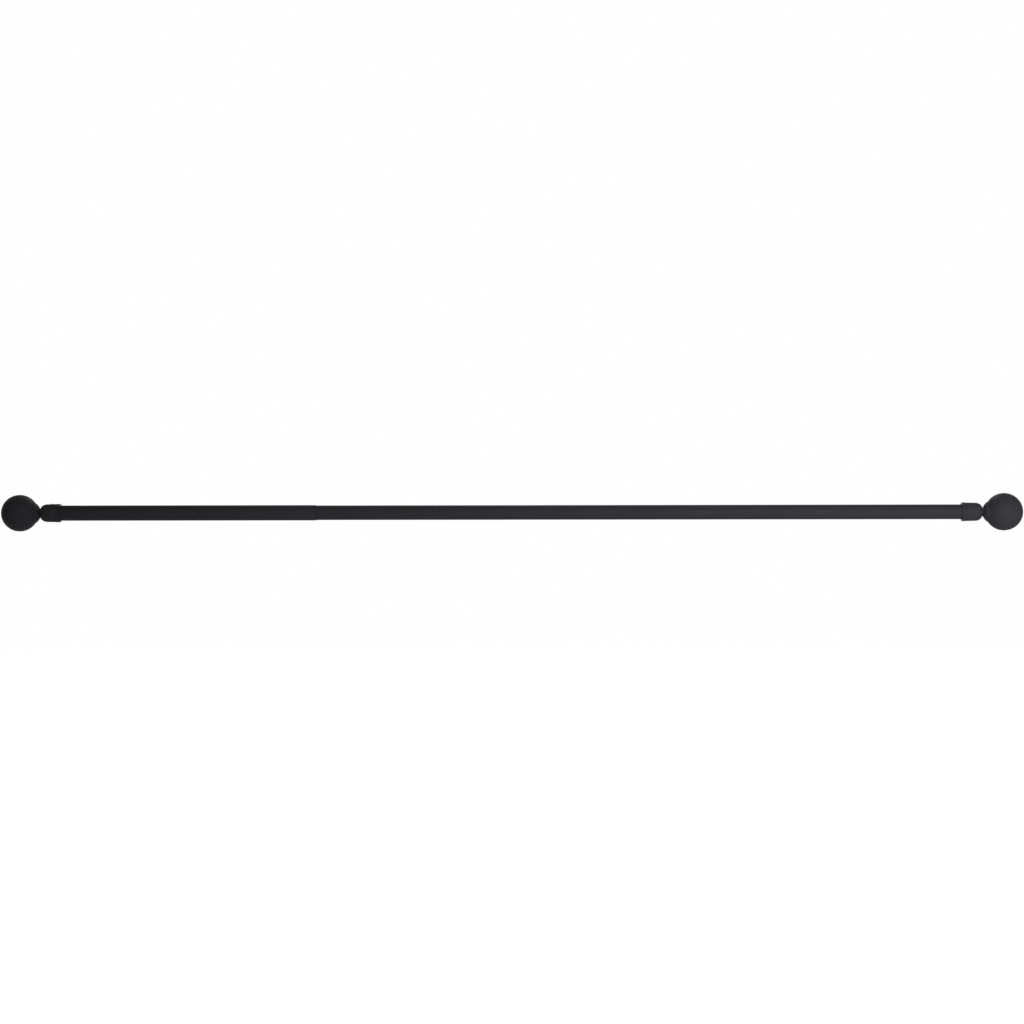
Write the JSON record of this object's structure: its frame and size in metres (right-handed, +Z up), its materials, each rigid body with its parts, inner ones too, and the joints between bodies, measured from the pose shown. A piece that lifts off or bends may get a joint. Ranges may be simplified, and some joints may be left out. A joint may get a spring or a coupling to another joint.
{
  "type": "curtain rod",
  "caption": "Telescoping round curtain rod with a ball finial on a narrow neck and slip-over cap at each end.",
  "frame": {"origin": "on the rod's axis, at the middle of the length over both balls", "axes": "+X along the rod, from the outer tube's end towards the inner tube's end; +Z up"},
  "size_m": [1.0642, 0.0384, 0.0384],
  "materials": {
    "coated_steel": "matt charcoal powder coat",
    "nylon": "natural moulded nylon",
    "black_nylon": "black moulded nylon",
    "zinc_plate": "zinc plated",
    "black_oxide": "black oxide"
  },
  "bodies": {
    "outer": {"outer_tube": "coated_steel", "left_end_plug": "black_nylon"},
    "bush": {"guide_bush": "nylon"},
    "inner": {"inner_tube": "coated_steel", "right_end_plug": "black_nylon"},
    "left_grip": {"left_grip_ring": "nylon"},
    "left_finial": {"left_cap": "coated_steel", "left_cap_screw": "zinc_plate", "left_lock_washer": "zinc_plate"},
    "left_grub": {"left_grub_screw": "black_oxide", "left_grub_pad": "nylon"},
    "left_washer": {"left_neck_washer": "black_nylon"},
    "left_ball_end": {"left_ball": "coated_steel", "left_ball_cup": "coated_steel", "left_ball_insert": "zinc_plate"},
    "right_grip": {"right_grip_ring": "nylon"},
    "right_finial": {"right_cap": "coated_steel", "right_cap_screw": "zinc_plate", "right_lock_washer": "zinc_plate"},
    "right_grub": {"right_grub_screw": "black_oxide", "right_grub_pad": "nylon"},
    "right_washer": {"right_neck_washer": "black_nylon"},
    "right_ball_end": {"right_ball": "coated_steel", "right_ball_cup": "coated_steel", "right_ball_insert": "zinc_plate"}
  },
  "joints": [
    {"name": "rod_length", "type": "slide", "parent": "outer", "child": "bush", "axis": [1, 0, 0], "range_m": [-0.055, 0.15]},
    {"name": "rod_turn", "type": "hinge", "parent": "bush", "child": "inner", "pos_m": [-0.1995, 0, 0], "axis": [1, 0, 0], "continuous": true},
    {"name": "left_finial_pull", "type": "slide", "parent": "outer", "child": "left_grip", "axis": [-1, 0, 0], "range_m": [0, 0.018]},
    {"name": "left_finial_turn", "type": "hinge", "parent": "left_grip", "child": "left_finial", "pos_m": [-0.4695, 0, 0], "axis": [-1, 0, 0], "continuous": true},
    {"name": "left_grub_travel", "type": "slide", "parent": "left_finial", "child": "left_grub", "axis": [0, 0, 1], "range_m": [0, 0.00125]},
    {"name": "left_ball_travel", "type": "slide", "parent": "left_finial", "child": "left_washer", "axis": [-1, 0, 0], "range_m": [0, 0.00881]},
    {"name": "left_ball_turn", "type": "hinge", "parent": "left_washer", "child": "left_ball_end", "pos_m": [-0.4913, 0, 0], "axis": [-1, 0, 0], "range_deg": [0, 3960]},
    {"name": "right_finial_pull", "type": "slide", "parent": "inner", "child": "right_grip", "axis": [1, 0, 0], "range_m": [0, 0.018]},
    {"name": "right_finial_turn", "type": "hinge", "parent": "right_grip", "child": "right_finial", "pos_m": [0.4695, 0, 0], "axis": [1, 0, 0], "continuous": true},
    {"name": "right_grub_travel", "type": "slide", "parent": "right_finial", "child": "right_grub", "axis": [0, 1, 0], "range_m": [0, 0.00125]},
    {"name": "right_ball_travel", "type": "slide", "parent": "right_finial", "child": "right_washer", "axis": [1, 0, 0], "range_m": [0, 0.00881]},
    {"name": "right_ball_turn", "type": "hinge", "parent": "right_washer", "child": "right_ball_end", "pos_m": [0.4913, 0, 0], "axis": [1, 0, 0], "range_deg": [0, 3960]}
  ],
  "couplings": [
    {"joint": "left_ball_travel", "follows": "left_ball_turn", "m_per_rad": 0.00012732},
    {"joint": "right_ball_travel", "follows": "right_ball_turn", "m_per_rad": 0.00012732}
  ]
}
